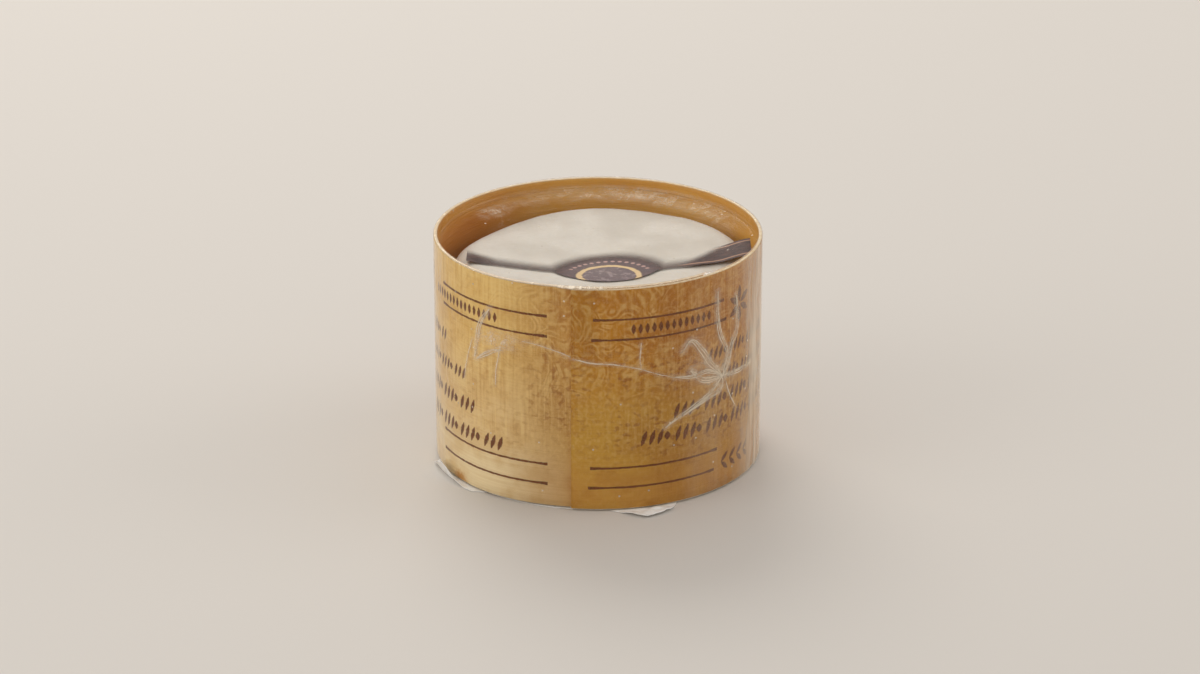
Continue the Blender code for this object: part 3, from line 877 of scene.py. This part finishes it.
def make_label():
    """The paper band with its round seal."""
    steps = int((BAND_RIGHT - BAND_LEFT) / LABEL_PITCH)
    columns = [BAND_LEFT + LABEL_PITCH * i for i in range(steps + 1)]
    columns = sorted(set(columns + [BAND_RIGHT, SEAL_X - SEAL_RADIUS, SEAL_X + SEAL_RADIUS]))
    count = 30
    rows, paled, shares = [], [], []
    for x in columns:
        front, rear = label_edges(x)
        ys = [front + (rear - front) * j / count for j in range(count + 1)]
        rows.append([(x, y, label_height(x, y)) for y in ys])
        paled += [veil(x, y, front) for y in ys]
        shares += [(y - band_middle(x)) / BAND_WIDTH + 0.5 for y in ys]
    mesh = grid_mesh("label_dressed", rows, lambda j, i: rows[j][i][:2])
    carry(mesh, "veil", paled)
    carry(mesh, "across", shares)
    mesh.flip_normals()
    add_piece("label_paper", mesh, [label_print()], "label")


# Film

HOLE_PITCH = 6.5
HOLE_CORE, HOLE_RADIUS = 0.12, 0.34
CELLS_LEFT_OUT = 0.7
FILM_COLUMNS = 480
FILM_ROWS = 110
STAR_ARC, STAR_HEIGHT = 33.5, 30.0
WIDE_CREASE = 0.55
CREASE_PITCH = 0.8
WISP_REACH = 1.3
THIN_WISP_REACH = 0.8
FOLD_SPREAD = 0.75
FOLD_LINE = 0.4


def film_tuck_outside(run):
    """Outside, the film follows the tucked strip and bridges the step where the lap ends."""
    bridge = ease((run - 360.0 + FILM_BRIDGE_END + FILM_BRIDGE) / FILM_BRIDGE)
    return tuck(run) * (1.0 - bridge)


def film_tuck_inside(run):
    """Inside, the film stays clear of the strip's inner end under the lap."""
    hidden = degrees(LAP_LENGTH / HOOP_RADIUS) + FILM_BRIDGE_END
    return max(tuck(run), LAP_STEP * ease((hidden + FILM_BRIDGE - run) / FILM_BRIDGE))


def film_profile():
    """Radius, height and region of the film from its foot over the rim to the middle of the top."""
    high = FILM_RIM - FILM_RIM_ROUND
    wall = [(FILM_RADIUS, HOOP_FOOT + (high - HOOP_FOOT) * j / FILM_ROWS) for j in range(FILM_ROWS + 1)]
    outer, inner = FILM_RADIUS - FILM_RIM_ROUND, FILM_WALL_RADIUS + FILM_RIM_ROUND
    turns = [(outer, radians(90 * i / 4)) for i in range(1, 5)]
    turns += [(inner, radians(90 + 90 * i / 4)) for i in range(5)]
    bend = FILM_RIM_ROUND
    top = [(middle + bend * cos(turn), high + bend * sin(turn)) for middle, turn in turns]
    top += [(FILM_WALL_RADIUS, high + (FILM_WALL_FOOT - high) * i / 3) for i in range(1, 4)]
    for i in range(1, 8):
        share = i / 8
        radius = FILM_WALL_RADIUS - (FILM_WALL_RADIUS - FILM_CORNER_RADIUS) * share ** 2
        top.append((radius, FILM_WALL_FOOT - (FILM_WALL_FOOT - FILM_CORNER) * (2 * share - share ** 2)))
    low = CHEESE_TOP - dish(FILM_REST_RADIUS) + FILM_OVER_CHEESE
    for i in range(8):
        share = 1.0 - i / 8
        radius = FILM_REST_RADIUS + (FILM_CORNER_RADIUS - FILM_REST_RADIUS) * share
        top.append((radius, low + (FILM_CORNER - low) * share))
    rings = 30
    for i in range(rings + 1):
        radius = FILM_REST_RADIUS * (1.0 - i / rings)
        top.append((radius, CHEESE_TOP - dish(radius) + FILM_OVER_CHEESE))
    return [(*place, "wall") for place in wall] + [(*place, "top") for place in top]


def wall_milk(arc, height):
    """How milky the film is at a place on the wall."""
    left = bump(arc, -25.0, 9.0) * bump(height, 41.0, 3.4) * 0.75
    star = ease(1.0 - hypot(arc - STAR_ARC, height - STAR_HEIGHT) / 7.0) * 0.3
    loop = ease(1.0 - hypot(arc - 26.0, height - 34.5) / 7.0) * 0.2
    return left + star + loop


def wall_side_sheen(arc, height):
    """How much painted reflection of the bright room pales the film towards both sides, broken into upright
    strands.
    """
    right = 0.1 * ease((arc - 16.0) / 14.0) + 0.38 * ease((arc - 38.0) / 14.0)
    right *= ease((67.0 - arc) / 14.0)
    left = ease((-arc - 40.0) / 20.0) * ease((arc + 84.0) / 20.0) * 0.22
    strands = 0.8 * wander(arc, height / 9.0, 7.0, 2.8) + 0.4 * wander(arc, height / 7.0, 3.0, 1.1)
    return (right + left) * min(max(0.85 + strands, 0.1), 1.5)


def wall_wisps():
    """Soft milky bands along the film's creases, by column and row of its wall."""
    across = 2 * pi * HOOP_RADIUS / FILM_COLUMNS
    up = (FILM_RIM - FILM_RIM_ROUND - HOOP_FOOT) / FILM_ROWS
    wisps = {}
    for numbers, width in CREASES:
        reach = WISP_REACH * (0.4 + width) if width > WIDE_CREASE else THIN_WISP_REACH
        for arc, height in smooth_path(numbers):
            column = (arc + pi * HOOP_RADIUS) / across
            row = (height - HOOP_FOOT) / up
            for i in range(int(column - reach / across), int(column + reach / across) + 2):
                for j in range(int(row - reach / up), int(row + reach / up) + 2):
                    off = hypot((i - column) * across, (j - row) * up)
                    share = (0.3 + 0.6 * width) * ease(1.5 - 1.5 * off / reach)
                    wisps[i, j] = max(wisps.get((i, j), 0.0), share)
    return wisps


def top_milk(angle, radius, height):
    """How milky the film is over the cheese, down the inner wall and on the rim."""
    drop = ease((55.6 - height) / 1.5) * ease((radius - 31.0) / 4.0)
    left = near(angle, -132.0, 12.0) * ease((38.2 - radius) / 1.2)
    faint = near(angle, -160.0, 26.0)
    back = near(angle, 172.0, 26.0) + near(angle, 146.0, 34.0)
    right = near(angle, 122.0, 24.0)
    front = near(angle, 0.0, 16.0) * bump(radius, 30.0, 6.0)
    seal = ease(1.0 - hypot(angle / 40.0, (radius - 10.0) / 14.0)) * ease(radius / 6.0)
    speck = ease(4.0 * wander(angle * 0.7, height, 6.0, 1.3) - 0.2)
    crumbs = ease((height - 55.9) / 0.4) * (near(angle, -8.0, 20.0) + 0.5 * near(angle, -10.0, 48.0)) * speck
    inner = drop * (0.4 * left + 0.2 * faint + 0.24 * back + 0.2 * right)
    return min(inner + 0.5 * front + 0.1 * seal + crumbs, 1.0)


def top_haze_and_glint(angle, radius, height):
    """How much the film's fine crumple blurs the inner wall, and how much a painted glint pales the rim
    where the film is drawn over it.
    """
    drop = ease((55.6 - height) / 1.5) * ease((radius - 32.5) / 3.0)
    back = near(angle, 158.0, 56.0) + 0.3 * near(angle, -150.0, 40.0)
    x, y = round_place(angle, radius)
    mottled = 0.5 + 0.5 * wander(x, y, 3.0 * height, 1.5) + 0.5 * wander(x, y, height, 5.0)
    # Painted glint: the film over the rim is paled, most at the front left.
    rim = (0.1 + 0.45 * near(angle, -28.0, 45.0)) * ease((height - 56.2) / 0.6)
    return rim + 0.3 * drop * back * mottled


def make_film():
    """The clear wrap round the hoop and over its top, as one thin sheet."""
    columns = FILM_COLUMNS
    profile = film_profile()
    rows, milk, gloss, haze, places = [], [], [], [], []
    wisps = wall_wisps()
    rim_middle = (FILM_WALL_RADIUS + FILM_RADIUS) / 2
    map_end = rim_middle - 1.0
    arc_rows = sum(radius >= map_end for radius, z, region in profile)
    for radius, z, region in profile:
        ring, marks = [], []
        for i in range(columns):
            angle = -180.0 + 360.0 * i / columns
            run = (angle - LAP_ANGLE) % 360.0
            arc = radians(angle) * HOOP_RADIUS
            if radius > rim_middle:
                shift = film_tuck_outside(run)
            else:
                near_wall = ease((radius - FILM_REST_RADIUS) / (FILM_WALL_RADIUS - FILM_REST_RADIUS))
                shift = film_tuck_inside(run) * near_wall
            x, y = round_place(angle, radius - shift)
            if region == "wall":
                out = 0.05 * (1.0 + wander(arc, z, 0.0, 7.0)) * min((z - HOOP_FOOT) / 4.0, 1.0)
                x, y = round_place(angle, radius - shift + out)
                marks.append((arc, z))
                wisp = wisps.get((i, len(rows)), 0.0)
                milk.append(wall_milk(arc, z) + 0.2 * wisp)
                gloss.append(0.65 + 0.35 * ease((abs(arc) - 25.0) / 20.0))
                # Painted reflection of the bright room near the sides, plus milk along the creases.
                haze.append(wall_side_sheen(arc, z) + 0.2 * wisp)
                lift = 0.0
            else:
                lift = 0.12 * wander(x, y, 4.0, 6.0) * ease((37.0 - radius) / 6.0)
                marks.append((x, y) if radius < map_end else (arc, 120.0 + z))
                milk.append(top_milk(angle, radius, z))
                haze.append(max(top_haze_and_glint(angle, radius, z), 0.0))
                gloss.append(1.0 - 0.9 * ease((39.3 - radius) / 1.3))
            ring.append((x, y, z + lift))
        rows.append(ring)
        places.append(marks)

    def uv(j, i):
        """The map's place: round the pack it runs on past the seam, and over the cheese it is X and Y."""
        if i < columns:
            return places[j][i]
        place = places[j][0]
        return (place[0] + 2 * pi * HOOP_RADIUS, place[1]) if j < arc_rows else place

    mesh = grid_mesh("film_dressed", rows, uv, closed=True)
    carry(mesh, "milk", milk)
    carry(mesh, "gloss", gloss)
    # The haze numbers carry film haze together with painted reflection near the sides and a painted glint on
    # the rim.
    carry(mesh, "haze", haze)
    add_piece("film_sheet", mesh, [film()], "film_wrap")


def smooth_path(numbers):
    """A path of close places through the given ones, with a slight waver."""
    places = [Vector((numbers[i], numbers[i + 1])) for i in range(0, len(numbers), 2)]
    path = []
    for i in range(len(places) - 1):
        before, start = places[max(i - 1, 0)], places[i]
        end, after = places[i + 1], places[min(i + 2, len(places) - 1)]
        count = max(int((end - start).length / CREASE_PITCH), 2)
        for k in range(count):
            t = k / count
            spot = 0.5 * (2 * start + (end - before) * t + (2 * before - 5 * start + 4 * end - after) * t * t
                          + (3 * start - 3 * end + after - before) * t ** 3)
            path.append((spot.x, spot.y))
    path.append(tuple(places[-1]))
    return [(a + 0.12 * wander(a, z, 5.0, 1.5), z + 0.15 * wander(a, z, 9.0, 1.7)) for a, z in path]


def make_creases():
    """Folds pressed into the film, as low ridges: one for a narrow crease and three for a wide one."""
    ribbons = Ribbons(0.22, ridge=0.1)
    for numbers, width in CREASES:
        path = smooth_path(numbers)
        last = len(path) - 1
        swell = [sin(pi * min(max(i / last, 0.05), 0.95)) for i in range(last + 1)]
        if width <= WIDE_CREASE:
            ribbons.add(path, [width * (0.35 + 0.65 * s) for s in swell])
            continue
        for side in (-1.0, 0.2, 1.0):
            line = beside(path, [side * FOLD_SPREAD * width * s for s in swell])
            ribbons.add(line, [FOLD_LINE * (0.4 + 0.6 * s) for s in swell])
    add_piece("film_creases", ribbons.mesh("film_creases"), [crease()])


# Paper

# The front tab stands a little off the floor, and the edge outside the hoop is crumpled
TAB_LIFT = 0.6
TAB_RISE_LENGTH = 2.5
PAPER_CRUMPLE = 0.4
PAPER_SHEET = 0.12
PAPER_COLUMNS = 360
PAPER_RINGS = 10


def paper_edge(angle):
    """Distance of the paper's cut edge from the axis."""
    return max(PAPER_RADIUS, along(FRONT_TAB, angle), along(LEFT_CURL, angle))


def paper_lift(angle, radius):
    """How far the paper's edge stands up outside the hoop."""
    risen = ease((radius - PAPER_BEND_RADIUS) / CURL_RISE_LENGTH)
    curl = CURL_LIFT * bump(angle, CURL_MIDDLE, CURL_REACH) * risen
    past = bump(radius, PAPER_BEND_RADIUS + HUMP_LENGTH, HUMP_LENGTH)
    hump = HUMP_LIFT * bump(angle, HUMP_MIDDLE, HUMP_REACH) * past
    tab = TAB_LIFT * ease((radius - PAPER_BEND_RADIUS) / TAB_RISE_LENGTH) if angle > 0.0 else 0.0
    return curl + max(hump, tab)


def make_paper():
    """The underlabel: flat under the hoop, with its tab in front and its curl on the left."""
    angles = [-180.0 + 360.0 * i / PAPER_COLUMNS for i in range(PAPER_COLUMNS)]
    rows = [[(0.0, 0.0, PAPER / 2)] * PAPER_COLUMNS]
    for j in range(PAPER_RINGS + 1):
        ring = []
        for angle in angles:
            inner = min(PAPER_BEND_RADIUS, paper_edge(angle) - 1.0)
            radius = inner + (paper_edge(angle) - inner) * j / PAPER_RINGS
            x, y = round_place(angle, radius)
            crumple = PAPER_CRUMPLE * max(wander(x, y, 2.0, 1.6), 0.0)
            crumple *= ease((radius - PAPER_BEND_RADIUS + 0.4) / 1.2)
            ring.append((x, y, PAPER / 2 + paper_lift(angle, radius) + crumple))
        rows.append(ring)
    mesh = grid_mesh("paper_dressed", rows, lambda j, i: rows[j][i % PAPER_COLUMNS][:2], closed=True)
    paper = add_piece("underlabel", mesh, [white_paper()], "base_paper")
    thick = paper.modifiers.new("thickness", "SOLIDIFY")
    thick.thickness = PAPER_SHEET * MM
    thick.offset = 0.0


# Stage

# In metres, and the lamps as (name, place, size, watts)
FLOOR_HALF = 3.0
LAMP_AIM = (0.0, 0.0, 0.03)
LAMP_COLOUR = (1.0, 0.96, 0.9)
LAMPS = (
    ("key", (-0.3, 1.0, 0.9), 0.9, 7.0),
    ("left", (-1.0, -0.45, 0.55), 0.8, 2.2),
    ("right", (1.0, 0.1, 0.5), 0.8, 2.2),
)
ROOM_COLOUR = (1.0, 0.985, 0.965, 1.0)
ROOM_STRENGTH = 0.63


def make_stage():
    """A plain pale floor, soft light and the camera."""
    mesh = bpy.data.meshes.new("floor")
    corners = [(FLOOR_HALF * x, FLOOR_HALF * y, 0.0) for x, y in ((-1, -1), (1, -1), (1, 1), (-1, 1))]
    mesh.from_pydata(corners, [], [(0, 1, 2, 3)])
    floor = bpy.data.objects.new("floor", mesh)
    bpy.context.scene.collection.objects.link(floor)
    g = Graph("pale_floor")
    mesh.materials.append(g.finish(g.surface(linear(213, 207, 200), 0.7)))

    world = bpy.data.worlds.new("pale_room")
    world.use_nodes = True
    background = world.node_tree.nodes["Background"]
    background.inputs[0].default_value = ROOM_COLOUR
    background.inputs[1].default_value = ROOM_STRENGTH
    bpy.context.scene.world = world

    for name, place, size, power in LAMPS:
        light = bpy.data.lights.new(name, "AREA")
        light.shape = "DISK"
        light.size = size
        light.energy = power
        light.color = LAMP_COLOUR
        lamp = bpy.data.objects.new(name, light)
        lamp.location = place
        lamp.rotation_euler = (Vector(LAMP_AIM) - Vector(place)).to_track_quat("-Z", "Y").to_euler()
        bpy.context.scene.collection.objects.link(lamp)

    lens = bpy.data.cameras.new("camera")
    lens.lens = LENS
    lens.sensor_width = 36.0
    lens.sensor_fit = "HORIZONTAL"
    lens.shift_x = SHIFT_X
    lens.shift_y = SHIFT_Y
    camera = bpy.data.objects.new("camera", lens)
    tilt = radians(VIEW_ELEVATION)
    camera.location = Vector((0.0, -cos(tilt) * VIEW_DISTANCE, VIEW_HEIGHT + sin(tilt) * VIEW_DISTANCE)) * MM
    camera.rotation_euler = (radians(90.0) - tilt, 0.0, 0.0)
    bpy.context.scene.collection.objects.link(camera)
    bpy.context.scene.camera = camera
    bpy.context.scene.view_settings.view_transform = "Standard"


make_hoop()
make_print()
make_cheese()
make_label()
make_film()
make_creases()
make_paper()
make_stage()
